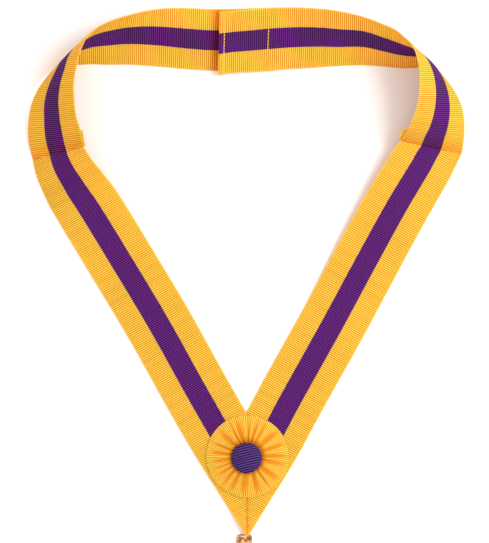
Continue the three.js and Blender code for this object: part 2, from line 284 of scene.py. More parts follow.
def smooth(start, end, value):
    t = np.clip((value - start) / (end - start), 0, 1)
    return t * t * (3 - 2 * t)


def unit(vectors):
    return vectors / np.linalg.norm(vectors, axis=-1, keepdims=True)


class Path:
    """A smooth path through stations of the ribbon, measured along its outer edge.

    Nowhere does it dip into the table.
    """

    def __init__(self, rows):
        x, y, foot, toward, lean, bend = np.array(rows, float).T
        toward, lean = np.radians(toward), np.radians(lean)
        self.knots = np.stack(
            [
                POINT_X + x / 100 * LIE_WIDTH / 2,
                POINT_Y + y / 100 * LIE_LENGTH,
                foot / 100 * RIBBON_WIDTH,
                np.cos(lean) * np.cos(toward),
                np.cos(lean) * np.sin(toward),
                np.sin(lean),
                np.radians(bend),
            ],
            axis=1,
        )
        steps = np.linalg.norm(np.diff(self.knots[:, :3], axis=0), axis=1)
        self.at = np.concatenate([[0], np.cumsum(steps)])
        self.length = self.at[-1]
        before = np.maximum(np.arange(len(rows)) - 1, 0)
        after = np.minimum(np.arange(len(rows)) + 1, len(rows) - 1)
        span = (self.at[after] - self.at[before])[:, None]
        self.slope = (self.knots[after] - self.knots[before]) / span

    def station(self, s):
        """The foot of the outer edge, the direction across and the bend, at places s."""
        s = np.clip(s, 0, self.length)
        i = np.clip(np.searchsorted(self.at, s, side="left") - 1, 0, len(self.at) - 2)
        span = (self.at[i + 1] - self.at[i])[..., None]
        t = (s - self.at[i])[..., None] / span
        knot = (
            self.knots[i] * (2 * t**3 - 3 * t**2 + 1)
            + self.slope[i] * span * (t**3 - 2 * t**2 + t)
            + self.knots[i + 1] * (3 * t**2 - 2 * t**3)
            + self.slope[i + 1] * span * (t**3 - t**2)
        )
        knot[..., [2, 5]] = np.maximum(knot[..., [2, 5]], 0)
        return knot[..., :3], unit(knot[..., 3:6]), knot[..., 6]

    def surface(self, s, v):
        """Points of the middle surface, the way its outer face looks, and the way across."""
        foot, across, bend = self.station(s)
        step = 0.5 * MM
        ends = []
        for place in (s - step, s + step):
            edge, way, _ = self.station(place)
            ends.append(edge + way * RIBBON_WIDTH / 2)
        out = unit(np.cross(across, ends[1] - ends[0]))
        half = np.where(np.abs(bend) < 1e-6, 1e-6, bend) / 2
        radius = RIBBON_WIDTH / (2 * half)
        turn = half * (2 * v - 1)
        run = radius * (np.sin(half) + np.sin(turn))
        rise = radius * (np.cos(turn) - np.cos(half))
        face = out * np.cos(turn)[..., None] + across * np.sin(turn)[..., None]
        point = foot + across * run[..., None] + out * rise[..., None]
        point[..., 2] += np.abs(face[..., 2]) * CAD_WALL / 2
        return point, face, across


ARM_PATHS = {side: Path(ARM_ROWS[side] + [SEAM_ROWS[side]]) for side in ("left", "right")}
NECK_PATH = Path([SEAM_ROWS["left"]] + NECK_ROWS + [SEAM_ROWS["right"]])
SIDES = {"left": -1, "right": 1}


def upward(face):
    return face * np.where(face[..., 2:] < 0, -1, 1)


# At a shoulder seam both ribbons face the same way.
SEAM_FACES = {}
for side in SIDES:
    arm_path = ARM_PATHS[side]
    neck_end = 0 if side == "left" else NECK_PATH.length
    faces = [
        path.surface(np.array([place]), np.array([0.5]))[1]
        for path, place in ((arm_path, arm_path.length), (NECK_PATH, neck_end))
    ]
    SEAM_FACES[side] = unit(sum(upward(face) for face in faces))[0]


def meet_seam(side, point, face, v, gap, reach):
    """Bends a ribbon's end down into a shoulder seam, gap away along the ribbon."""
    near = smooth(SEAM_TURN, 0, gap)
    sign = np.where(face[..., 2:] < 0, -1, 1)
    seam_face = SEAM_FACES[side] * sign
    face = unit(face * (1 - near)[..., None] + seam_face * near[..., None])
    hold = SEAM_DIP_AT_FOOT + (1 - SEAM_DIP_AT_FOOT) * smooth(0, 0.3, v)
    dip = SEAM_DIP * hold * np.clip(1 - gap / reach, 0, 1) ** 2
    return point - face * sign * dip[..., None], face


def arm_surface(side):
    """A front ribbon's middle surface, whose point rides over the hook."""
    path = ARM_PATHS[side]
    rise = HOOK_WALL + PIECE_GAP
    rise_from = HOOK_TUCK + POINT_RISE_START
    rise_to = min(POINT_RISE_LENGTH, ROSETTE_AT - ROSETTE_RADIUS - PIECE_GAP)

    def surface(s, v):
        point, face, across = path.surface(s, v)
        point, face = meet_seam(side, point, face, v, path.length - s, SEAM_DIP_ON_ARM)
        near = np.clip(1 - np.abs(point[..., 0] - POINT_X) / MITRE_ROLL_WIDTH, 0, 1)
        point[..., 2] -= MITRE_ROLL * near**2
        point[..., 2] += rise * (1 - smooth(rise_from, rise_to, point[..., 1] - POINT_Y))
        return point, face, across

    return surface


def neck_place_at(x):
    """Where the neck band's foot passes a given x at the back."""
    s = np.linspace(0.25, 0.75, 4001) * NECK_PATH.length
    foot, _, _ = NECK_PATH.station(s)
    return float(np.interp(x + POINT_X, foot[:, 0], s))


LEFT_END = neck_place_at(CLOSURE_LEFT_END)
RIGHT_END = neck_place_at(CLOSURE_RIGHT_END)
STITCH_PLACES = [neck_place_at(x) for x in STITCH_ROWS_AT]


def neck_surface(side):
    """A neck ribbon's middle surface: at the back the right one lies on the left one."""

    def left(s, v):
        point, face, across = NECK_PATH.surface(s, v)
        tuck = CLOSURE_TUCK * smooth(RIGHT_END - CLOSURE_FADE, RIGHT_END, s)
        point = point - across * tuck[..., None]
        point, face = meet_seam("left", point, face, v, s, SEAM_DIP_ON_NECK)
        return point, face, across

    def right(s, v):
        point, face, across = NECK_PATH.surface(s, v)
        hold = 1 - smooth(LEFT_END, LEFT_END + CLOSURE_FADE, s)
        stand = 1 - smooth(RIGHT_END, LEFT_END, s)
        rise = (CAD_WALL + PIECE_GAP) * hold + CLOSURE_STAND * stand
        lift = CLOSURE_LIFT * (CLOSURE_LIFT_AT_FOOT - CLOSURE_LIFT_LOST_ACROSS * v)
        rise = rise + lift * smooth(RIGHT_END + CLOSURE_LIFT_REACH, RIGHT_END, s)
        for place in STITCH_PLACES:
            rise = rise - STITCH_DENT * np.exp(-(((s - place) / STITCH_DENT_WIDTH) ** 2))
        point = point - face * rise[..., None] - across * (CLOSURE_SLIP * stand)[..., None]
        gap = NECK_PATH.length - s
        point, face = meet_seam("right", point, face, v, gap, SEAM_DIP_ON_NECK)
        return point, face, across

    return left if side == "left" else right


def rib_wave(along, pitch=RIB_PITCH):
    """The ribs' profile: round tops and narrow grooves, from -1 to 1."""
    return 2 * np.abs(np.cos(math.pi * along / pitch)) - 1


def mesh_object(name, points, faces, material, uvs=None, painted_shade=None, smooth_angle=35):
    """A new piece from points and faces, welded. uvs and the painted shade are given by point."""
    mesh = bpy.data.meshes.new(name)
    mesh.from_pydata(points.tolist(), [], faces)
    mesh.materials.append(material)
    if uvs is not None:
        layer = mesh.uv_layers.new(name="ribs")
        loops = np.zeros(len(mesh.loops), np.int32)
        mesh.loops.foreach_get("vertex_index", loops)
        layer.data.foreach_set("uv", np.asarray(uvs, np.float32)[loops].ravel())
    if painted_shade is not None:
        shade = mesh.attributes.new("painted_shade", "FLOAT", "POINT")
        shade.data.foreach_set("value", np.asarray(painted_shade, np.float32).ravel())
    work = bmesh.new()
    work.from_mesh(mesh)
    bmesh.ops.remove_doubles(work, verts=work.verts, dist=WELD)
    bmesh.ops.dissolve_degenerate(work, edges=work.edges, dist=WELD / 2)
    work.to_mesh(mesh)
    work.free()
    mesh.polygons.foreach_set("use_smooth", np.ones(len(mesh.polygons), bool))
    mesh.set_sharp_from_angle(angle=math.radians(smooth_angle))
    mesh.update()
    piece = bpy.data.objects.new(name, mesh)
    bpy.context.collection.objects.link(piece)
    return piece


def wall_faces(rows, cols):
    """The faces of a closed wall whose upper and lower grids have rows by cols points."""
    count = rows * cols
    i, j = np.meshgrid(np.arange(rows - 1), np.arange(cols - 1), indexing="ij")
    a = (i * cols + j).ravel()
    faces = [np.stack([a, a + 1, a + cols + 1, a + cols], axis=1)]
    faces.append(np.stack([a, a + cols, a + cols + 1, a + 1], axis=1) + count)
    edge = np.arange(rows - 1) * cols
    faces.append(np.stack([edge, edge + cols, edge + cols + count, edge + count], axis=1))
    edge = edge + cols - 1
    faces.append(np.stack([edge, edge + count, edge + cols + count, edge + cols], axis=1))
    edge = np.arange(cols - 1)
    faces.append(np.stack([edge, edge + count, edge + 1 + count, edge + 1], axis=1))
    edge = edge + (rows - 1) * cols
    faces.append(np.stack([edge, edge + 1, edge + 1 + count, edge + count], axis=1))
    return np.concatenate(faces).tolist()


def ring_faces(rows, cols, flip=False):
    """The faces of a grid of rows by cols points whose last row meets its first."""
    i, j = np.meshgrid(np.arange(rows), np.arange(cols - 1), indexing="ij")
    a = (i * cols + j).ravel()
    b = ((i + 1) % rows * cols + j).ravel()
    return np.stack([a, b, b + 1, a + 1] if flip else [a, a + 1, b + 1, b], axis=1)


def edge_round(v):
    """How far the cloth keeps its thickness towards the two selvedges."""
    near = np.minimum(v, 1 - v) * RIBBON_WIDTH / SELVEDGE_ROUND
    return np.sqrt(np.clip(near, SELVEDGE_THIN, 1))


ACROSS = np.concatenate([[0, 0.007, 0.018], np.linspace(0.04, 0.96, 15), [0.982, 0.993, 1]])


def ribbon_piece(name, surface, span, upright_at, material, mitre=0, marks=()):
    """A length of ribbed ribbon on a middle surface, from span[0] to span[1] along its edge.

    Its ribs go straight across where s is upright_at, and elsewhere follow the lengths of the
    two edges. mitre is the side of the point that it keeps to; shade is painted along its gap.
    marks are places along the edge where shade is painted into the cloth's colour, with their
    width and strength.
    """
    dense = np.linspace(span[0], span[1], 1600)
    edges = []
    for v in (0.0, 1.0):
        line, _, _ = surface(dense, np.full_like(dense, v))
        length = np.concatenate([[0], np.cumsum(np.linalg.norm(np.diff(line, axis=0), axis=1))])
        edges.append(length - np.interp(upright_at, dense, length))
    starts = np.full(len(ACROSS), float(span[0]))
    if mitre:
        for k, v in enumerate(ACROSS):
            line, _, _ = surface(dense, np.full_like(dense, v))
            starts[k] = np.interp(MITRE_GAP / 2, mitre * (line[:, 0] - POINT_X), dense)
    columns = [edges[0] * (1 - v) + edges[1] * v for v in ACROSS]
    low = min(np.interp(starts[k], dense, columns[k]) for k in range(len(ACROSS)))
    high = max(column[-1] for column in columns)
    step = RIB_PITCH / SAMPLES_PER_RIB
    along = np.arange(math.floor(low / step), math.ceil(high / step) + 1) * step
    s = np.stack([np.interp(along, column, dense) for column in columns], axis=1)
    s = np.maximum(s, starts)
    q = np.stack([np.interp(s[:, k], dense, column) for k, column in enumerate(columns)], axis=1)
    v = np.broadcast_to(ACROSS, s.shape)
    wave = rib_wave(q)
    edge_sign = np.where(v < 0.001, -1, np.where(v > 0.999, 1, 0))
    scallop = edge_sign * SELVEDGE_SCALLOP / RIBBON_WIDTH * wave
    point, face, _ = surface(s, v + scallop)
    thin = edge_round(v)
    half = thin * (CLOTH_WALL / 2 + RIB_HEIGHT / 2 * wave)
    upper = point + face * half[..., None]
    lower = point - face * half[..., None]
    if mitre:
        for layer in (upper, lower):
            layer[..., 1] = np.maximum(layer[..., 1], POINT_Y + POINT_BLUNT)
    painted_shade = np.zeros_like(s)
    for place, width, strength in marks:
        painted_shade = np.maximum(painted_shade, strength * np.exp(-(((s - place) / width) ** 2)))
    if mitre:
        # Painted shade along the mitre's gap, down the V's centre line.
        mitre_gap_shade = np.exp(-(((point[..., 0] - POINT_X) / MITRE_LINE_WIDTH) ** 2))
        painted_shade = np.maximum(painted_shade, mitre_gap_shade)
    points = np.concatenate([upper.reshape(-1, 3), lower.reshape(-1, 3)])
    uv = np.stack([q.ravel() / RIB_PITCH / 100, v.ravel()], axis=1)
    return mesh_object(
        name,
        points,
        wall_faces(*s.shape),
        material,
        uvs=np.concatenate([uv, uv]),
        painted_shade=np.concatenate([painted_shade.ravel(), painted_shade.ravel()]),
    )


# Materials


class Nodes:
    """A short way to write a material's nodes."""

    def __init__(self, name):
        self.material = bpy.data.materials.new(name)
        self.material.use_nodes = True
        self.tree = self.material.node_tree
        self.tree.nodes.clear()
        self.output = self.tree.nodes.new("ShaderNodeOutputMaterial")
        self.shader = self.tree.nodes.new("ShaderNodeBsdfPrincipled")
        self.link(self.shader.outputs["BSDF"], self.output.inputs["Surface"])

    def link(self, source, target):
        self.tree.links.new(source, target)

    def put(self, value, socket):
        if isinstance(value, bpy.types.NodeSocket):
            self.link(value, socket)
        else:
            socket.default_value = value

    def math(self, operation, a, b=0.0, c=0.0):
        node = self.tree.nodes.new("ShaderNodeMath")
        node.operation = operation
        for value, socket in zip((a, b, c), node.inputs):
            self.put(value, socket)
        return node.outputs[0]

    def ramp(self, value, low, high, start=0.0, end=1.0):
        node = self.tree.nodes.new("ShaderNodeMapRange")
        node.interpolation_type = "SMOOTHSTEP"
        for item, socket in zip((value, low, high, start, end), node.inputs):
            self.put(item, socket)
        return node.outputs[0]

    def mix(self, share, a, b, blend="MIX"):
        node = self.tree.nodes.new("ShaderNodeMix")
        node.data_type = "RGBA"
        node.blend_type = blend
        colours = [socket for socket in node.inputs if socket.type == "RGBA"]
        self.put(share, node.inputs[0])
        self.put(a, colours[0])
        self.put(b, colours[1])
        return next(socket for socket in node.outputs if socket.type == "RGBA")

    def noise(self, scale, detail=2.0, vector=None):
        node = self.tree.nodes.new("ShaderNodeTexNoise")
        node.inputs["Scale"].default_value = scale
        node.inputs["Detail"].default_value = detail
        if vector is None:
            vector = self.tree.nodes.new("ShaderNodeTexCoord").outputs["Object"]
        self.link(vector, node.inputs["Vector"])
        return node.outputs[0]

    def uv(self):
        node = self.tree.nodes.new("ShaderNodeUVMap")
        node.uv_map = "ribs"
        split = self.tree.nodes.new("ShaderNodeSeparateXYZ")
        self.link(node.outputs[0], split.inputs[0])
        return split.outputs[0], split.outputs[1]

    def attribute(self, name):
        node = self.tree.nodes.new("ShaderNodeAttribute")
        node.attribute_name = name
        return node.outputs["Fac"]

    def vector(self, x, y, z=0.0):
        node = self.tree.nodes.new("ShaderNodeCombineXYZ")
        for value, socket in zip((x, y, z), node.inputs):
            self.put(value, socket)
        return node.outputs[0]

    def bump(self, height, strength, distance):
        node = self.tree.nodes.new("ShaderNodeBump")
        node.inputs["Strength"].default_value = strength
        node.inputs["Distance"].default_value = distance
        self.link(height, node.inputs["Height"])
        self.link(node.outputs[0], self.shader.inputs["Normal"])

    def let_through(self, share, tint):
        """Lets a share of the light pass through thin cloth."""
        through = self.tree.nodes.new("ShaderNodeBsdfTranslucent")
        blend = self.tree.nodes.new("ShaderNodeMixShader")
        self.put(tint, through.inputs["Color"])
        self.put(share, blend.inputs[0])
        self.link(self.shader.outputs["BSDF"], blend.inputs[1])
        self.link(through.outputs[0], blend.inputs[2])
        self.link(blend.outputs[0], self.output.inputs["Surface"])

    def set(self, **sockets):
        for name, value in sockets.items():
            self.put(value, self.shader.inputs[name.replace("_", " ")])


def colour(red, green, blue):
    """A linear colour from 0 to 255 screen values."""

    def linear(value):
        value /= 255
        return value / 12.92 if value <= 0.04045 else ((value + 0.055) / 1.055) ** 2.4

    return (linear(red), linear(green), linear(blue), 1.0)


# Each cloth comes as a lit copy for the rib crests and a darker copy for the grooves: painted light
# and painted shade of the ribs.
GOLD_LIT_CREST = colour(255, 245, 94)
GOLD_SHADED_GROOVE = colour(222, 120, 0)
GOLD_SELVEDGE = colour(255, 228, 120)
VIOLET_LIT_CREST = colour(164, 62, 204)
VIOLET_SHADED_GROOVE = colour(5, 0, 14)
BUTTON_LIT_CREST = colour(132, 92, 194)
BUTTON_SHADED_GROOVE = colour(8, 0, 34)
ROSETTE_LIT_CREST = colour(255, 250, 104)
ROSETTE_SHADED_GROOVE = colour(232, 132, 0)
# Tint that multiplies the colour where shade is painted at seams, gaps and stitches.
PAINTED_SHADE_TINT = (0.96, 0.62, 0.3, 1.0)
# Tint of the painted shade in the rosette's gather valleys.
GATHER_SHADE_TINT = (1.0, 0.62, 0.2, 1.0)
THROUGH_TINT = (1.0, 0.8, 0.55, 1.0)
# Dark and bright gilt, mixed into patches of painted reflection.
GILT_DARK_REFLECTION = colour(150, 92, 44)
GILT_BRIGHT_REFLECTION = colour(244, 200, 150)
THREAD_DULL = colour(242, 180, 74)
THREAD_BRIGHT = colour(250, 204, 92)


def grosgrain(name, top, shaded_groove, stripe=None, edge=None, painted_shade=PAINTED_SHADE_TINT, dark=False):
    """Ribbed cloth: its u counts ribs in hundreds and its v runs across the ribbon.

    A dark cloth and a stripe catch the light on a narrower crest than a pale cloth does.
    """
    n = Nodes(name)
    u, v = n.uv()
    turns = n.math("MULTIPLY", u, math.pi * 100)
    rib = n.math("ABSOLUTE", n.math("COSINE", turns))
    number = n.math("ROUND", n.math("MULTIPLY", u, 100))
    own = n.noise(1.7, 1.0, n.vector(number, 0.37))
    groove_shade_mask = n.math("POWER", n.math("SUBTRACT", 1.0, rib), HOLLOW_POWER)
    narrow_groove_shade_mask = n.math("POWER", groove_shade_mask, NARROW_POWER)
    # Painted light and shade of the ribs: the crest takes the lit colour, the groove the darker
    # colour as painted shade.
    base = n.mix(narrow_groove_shade_mask if dark else groove_shade_mask, top, shaded_groove)
    if stripe is not None:
        jitter = n.math("MULTIPLY", n.math("SUBTRACT", own, 0.5), STRIPE_JITTER)
        place = n.math("ADD", v, jitter)
        enter = n.ramp(place, STRIPE_FROM - STRIPE_BLUR, STRIPE_FROM + STRIPE_BLUR)
        leave = n.ramp(place, STRIPE_TO - STRIPE_BLUR, STRIPE_TO + STRIPE_BLUR)
        inside = n.math("SUBTRACT", enter, leave)
        # The violet stripe has its own painted crest light and painted groove shade.
        base = n.mix(inside, base, n.mix(narrow_groove_shade_mask, stripe[0], stripe[1]))
    if edge is not None:
        distance = n.math("ABSOLUTE", n.math("SUBTRACT", v, 0.5))
        base = n.mix(n.ramp(distance, SELVEDGE_FROM, SELVEDGE_TO, 0.0, SELVEDGE_SHARE), base, edge)
    warp = n.math("SINE", n.math("MULTIPLY", v, 2 * math.pi * WARP_THREADS))
    slant = n.math("MULTIPLY", v, math.pi * WARP_THREADS)
    odd = n.math("SINE", n.math("ADD", turns, slant))
    thread = n.math("MULTIPLY_ADD", warp, 0.5, n.math("MULTIPLY", odd, 0.5))
    patch = n.noise(22, 3.0)
    streak = n.noise(1.0, 2.0, n.vector(n.math("MULTIPLY", u, 3.0), n.math("MULTIPLY", v, 60.0)))
    value = 1.0
    for part, contrast in ((patch, PATCH_CONTRAST), (streak, STREAK_CONTRAST), (own, OWN_CONTRAST)):
        value = n.math("MULTIPLY_ADD", n.math("SUBTRACT", part, 0.5), contrast, value)
    value = n.math("MULTIPLY_ADD", thread, THREAD_CONTRAST, value)
    base = n.mix(1.0, base, n.vector(value, value, value), "MULTIPLY")
    # Painted shade: where the shade attribute is set, the colour is multiplied by the tint.
    base = n.mix(n.attribute("painted_shade"), base, n.mix(1.0, base, painted_shade, "MULTIPLY"))
    n.set(Base_Color=base, Roughness=0.7, Specular_IOR_Level=0.12)
    n.set(Sheen_Weight=0.03, Sheen_Roughness=0.5)
    n.bump(n.math("MULTIPLY_ADD", thread, 0.3, n.math("MULTIPLY", patch, 0.2)), 0.35, 0.00008)
    n.let_through(CLOTH_SHARE_THROUGH, n.mix(1.0, base, THROUGH_TINT, "MULTIPLY"))
    return n.material


def gilt_metal():
    n = Nodes("gilt")
    # A noise mixes the dark and the bright gilt into patches of painted reflection; the same noise
    # also bumps the surface.
    reflection_patch_noise = n.noise(420, 4.0)
    fine = n.noise(2600, 2.0)
    base = n.mix(n.ramp(reflection_patch_noise, 0.38, 0.62), GILT_DARK_REFLECTION, GILT_BRIGHT_REFLECTION)
    n.set(Base_Color=base, Metallic=1.0)
    n.set(Roughness=n.ramp(fine, 0.2, 0.8, 0.16, 0.34))
    n.bump(n.math("MULTIPLY_ADD", reflection_patch_noise, 0.7, n.math("MULTIPLY", fine, 0.3)), 0.2, 0.0001)
    return n.material


def thread_cloth():
    n = Nodes("sewing_thread")
    base = n.mix(n.noise(900, 2.0), THREAD_DULL, THREAD_BRIGHT)
    n.set(Base_Color=base, Roughness=0.6, Specular_IOR_Level=0.3)
    n.bump(n.noise(3200, 1.0), 0.3, 0.0001)
    return n.material


RIBBON = grosgrain(
    "ribbon", GOLD_LIT_CREST, GOLD_SHADED_GROOVE, stripe=(VIOLET_LIT_CREST, VIOLET_SHADED_GROOVE), edge=GOLD_SELVEDGE
)
ROSETTE = grosgrain("rosette", ROSETTE_LIT_CREST, ROSETTE_SHADED_GROOVE, painted_shade=GATHER_SHADE_TINT)
BUTTON = grosgrain("button", BUTTON_LIT_CREST, BUTTON_SHADED_GROOVE, dark=True)
GILT = gilt_metal()
THREAD = thread_cloth()


def dress(piece, slot, *nodes):
    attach(piece, "root")
    if nodes:
        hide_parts(*nodes)


# The four ribbons
for side, sign in SIDES.items():
    path = ARM_PATHS[side]
    piece = ribbon_piece(
        f"front_ribbon_{side}_cloth",
        arm_surface(side),
        (0, path.length),
        path.length / 2,
        RIBBON,
        mitre=sign,
        # Painted shade at the shoulder seam; the mitre also paints shade along its gap.
        marks=[(path.length, ARM_SEAM_SHADE_WIDTH, ARM_SEAM_SHADE)],
    )
    dress(piece, "ribbon", f"front_ribbon_{side}")

for side in SIDES:
    at_left = side == "left"
    span = (0, LEFT_END) if at_left else (RIGHT_END, NECK_PATH.length)
    seam_at = 0 if at_left else NECK_PATH.length
    # Painted shade towards the shoulder seam; on the left ribbon a painted shadow of the right
    # ribbon's end, on the right one painted shade along the stitch rows.
    marks = [(seam_at, NECK_SEAM_SHADE_WIDTH, NECK_SEAM_SHADE)]
    if at_left:
        marks.append((RIGHT_END - CLOSURE_SHADE_AT, CLOSURE_SHADE_WIDTH, 1.0))
    else:
        marks += [(place, STITCH_SHADE_WIDTH, STITCH_SHADE) for place in STITCH_PLACES]
    piece = ribbon_piece(
        f"neck_ribbon_{side}_cloth",
        neck_surface(side),
        span,
        (LEFT_END + RIGHT_END) / 2,
        RIBBON,
        marks=marks,
    )
    dress(piece, "ribbon", f"neck_ribbon_{side}")

# The turned-back end of each neck ribbon lies under it along the seam and peeps out inwards.
ALLOWANCE_ROWS = {
    "left": {"outer": 0.3, "inner_at_seam": 1.012, "inner_at_end": 1.02},
    "right": {"outer": 0.3, "inner_at_seam": 1.02, "inner_at_end": 1.07},
}


def allowance_piece(side):
    row = ALLOWANCE_ROWS[side]
    below = CLOTH_WALL + ALLOWANCE_BELOW
    along = np.arange(PIECE_GAP, SEAM_ALLOWANCE, RIB_PITCH / SAMPLES_PER_RIB)
    shares = np.concatenate([[0, 0.015], np.linspace(0.06, 0.94, 9), [0.985, 1]])
    gap, share = np.meshgrid(along, shares, indexing="ij")
    inner = row["inner_at_seam"] + (row["inner_at_end"] - row["inner_at_seam"]) * (
        gap / SEAM_ALLOWANCE
    )
    v = row["outer"] * (1 - share) + inner * share
    s = gap if side == "left" else NECK_PATH.length - gap
    point, face, _ = neck_surface(side)(s, v)
    point = point - face * below
    half = CLOTH_WALL / 2 * ALLOWANCE_THIN + RIB_HEIGHT / 2 * rib_wave(gap)
    half = half * np.where((share < 0.001) | (share > 0.999), 0.5, 1)
    upper = point + face * half[..., None]
    lower = point - face * half[..., None]
    if side == "right":
        upper, lower, gap, share = upper[::-1], lower[::-1], gap[::-1], share[::-1]
    points = np.concatenate([upper.reshape(-1, 3), lower.reshape(-1, 3)])
    uv = np.stack([gap.ravel() / RIB_PITCH / 100, 0.3 + 0.7 * share.ravel()], axis=1)
    piece = mesh_object(
        f"seam_allowance_{side}_cloth",
        points,
        wall_faces(*gap.shape),
        RIBBON,
        uvs=np.concatenate([uv, uv]),
        painted_shade=np.zeros(len(points)),
    )
    dress(piece, "ribbon", f"seam_allowance_{side}")


for side in SIDES:
    allowance_piece(side)


# The rosette: ribbon drawn up into uneven radial gathers that deepen towards the button


def rosette_piece():
    rng = np.random.default_rng(ROSETTE_SEED)
    gathers = ROSETTE_GATHERS
    hub = BUTTON_RADIUS - HUB_TUCK
    crest = BUTTON_RADIUS + CREST_OUT
    widths = rng.uniform(*GATHER_WIDTHS, gathers)
    bounds = np.concatenate([[0], np.cumsum(widths)]) / widths.sum()
    depths = rng.uniform(*GATHER_DEPTHS, gathers)
    reach = rng.uniform(*GATHER_REACHES, gathers)
    lean = rng.uniform(*GATHER_LEANS, gathers)
    radii = np.concatenate(
        [np.linspace(hub, crest, 5), np.linspace(crest, ROSETTE_RADIUS, 30)[1:]]
    )
    turn = np.linspace(0, 1, ROSETTE_BEARINGS, endpoint=False)
    count = ROSETTE_RIBS * SAMPLES_PER_RIB
    material = np.arange(count) / count
    angles = np.zeros((count, len(radii)))
    height = np.zeros((count, len(radii)))
    valley = np.zeros((count, len(radii)))
    index = np.clip(np.searchsorted(bounds, turn, side="right") - 1, 0, gathers - 1)
    local = (turn - bounds[index]) / (bounds[index + 1] - bounds[index])
    for j, r in enumerate(radii):
        out = (r - crest) / (ROSETTE_RADIUS - crest)
        if r < crest:
            top = HUB_HEIGHT + (CREST_HEIGHT - HUB_HEIGHT) * smooth(hub, crest, r)
            fade = np.ones(gathers)
        else:
            top = CREST_HEIGHT - RIM_FALL * out**1.15
            fade = 0.1 + 0.9 * np.clip(1 - out / (0.6 + 0.5 * reach), 0, 1) ** 0.9
        bent = np.clip(local + lean[index] * np.sin(math.pi * local), 0, 1)
        ridge = np.abs(np.sin(math.pi * bent)) ** 1.1
        deep = GATHER_DEPTH * depths[index] * fade[index]
        room = top - GATHER_FLOOR
        z = top - np.minimum(deep, room) * (1 - ridge)
        arc = np.hypot(np.roll(z, -1) - z, 2 * math.pi * r / len(turn))
        travelled = np.concatenate([[0], np.cumsum(arc)])
        edge = np.interp(bounds, np.concatenate([turn, [1]]), travelled)
        closed = np.concatenate([turn, [1]])
        cell = np.clip(np.searchsorted(bounds, closed, side="right") - 1, 0, gathers - 1)
        share = (travelled - edge[cell]) / (edge[cell + 1] - edge[cell])
        mapped = bounds[cell] + share * (bounds[cell + 1] - bounds[cell])
        where = np.interp(material, mapped, closed)
        angles[:, j] = 2 * math.pi * where
        height[:, j] = np.interp(where, closed, np.concatenate([z, z[:1]]))
        valley[:, j] = 1 - np.interp(where, closed, np.concatenate([ridge, ridge[:1]]))
        valley[:, j] *= np.interp(where, turn, fade[index])
    wobble = rng.uniform(-RIM_WOBBLE, RIM_WOBBLE, gathers)
    wobble = np.interp(material, bounds[:-1], wobble, period=1)
    grow = smooth(ROSETTE_RADIUS * 0.75, ROSETTE_RADIUS, radii)
    wave = rib_wave(material * ROSETTE_RIBS, 1)[:, None]
    spread = radii[None, :] + wobble[:, None] * grow + RIM_SCALLOP * wave * grow**6
    base = np.stack(
        [
            POINT_X + spread * np.cos(angles),
            POINT_Y + ROSETTE_AT + spread * np.sin(angles),
            ROSETTE_FLOOR + height,
        ],
        axis=-1,
    )
    around = np.roll(base, -1, axis=0) - np.roll(base, 1, axis=0)
    outward = np.gradient(base, axis=1)
    normal = unit(np.cross(outward, around))
    upper = base + normal * (RIB_HEIGHT / 2 * wave)[..., None]
    upper[:, -1, 2] -= RIM_TURN_DOWN
    lower = base.copy()
    lower[..., 2] = np.maximum(upper[..., 2] - ROSETTE_WALL, ROSETTE_FLOOR - 0.02 * MM)
    rows, cols = upper.shape[:2]
    total = rows * cols
    faces = [ring_faces(rows, cols), ring_faces(rows, cols, flip=True) + total]
    a = np.arange(rows) * cols
    b = (np.arange(rows) + 1) % rows * cols
    faces.append(np.stack([a, b, b + total, a + total], axis=1))
    a, b = a + cols - 1, b + cols - 1
    faces.append(np.stack([a, a + total, b + total, b], axis=1))
    u = np.broadcast_to((np.arange(rows) / SAMPLES_PER_RIB / 100)[:, None], (rows, cols))
    v = np.broadcast_to((radii / ROSETTE_RADIUS)[None, :], (rows, cols))
    uv = np.stack([u.ravel(), v.ravel() * 0.45], axis=1)
    points = np.concatenate([upper.reshape(-1, 3), lower.reshape(-1, 3)])
    # Painted shade in the gather valleys and in a ring next to the button.
    shade = np.maximum(smooth(0.02, 0.5, valley), smooth(1.2 * crest, 0.95 * crest, radii))
    piece = mesh_object(
        "rosette_cloth",
        points,
        np.concatenate(faces).tolist(),
        ROSETTE,
        uvs=np.concatenate([uv, uv]),
        painted_shade=np.concatenate([shade.ravel(), shade.ravel()]),
    )
    dress(piece, "rosette", "rosette")


rosette_piece()


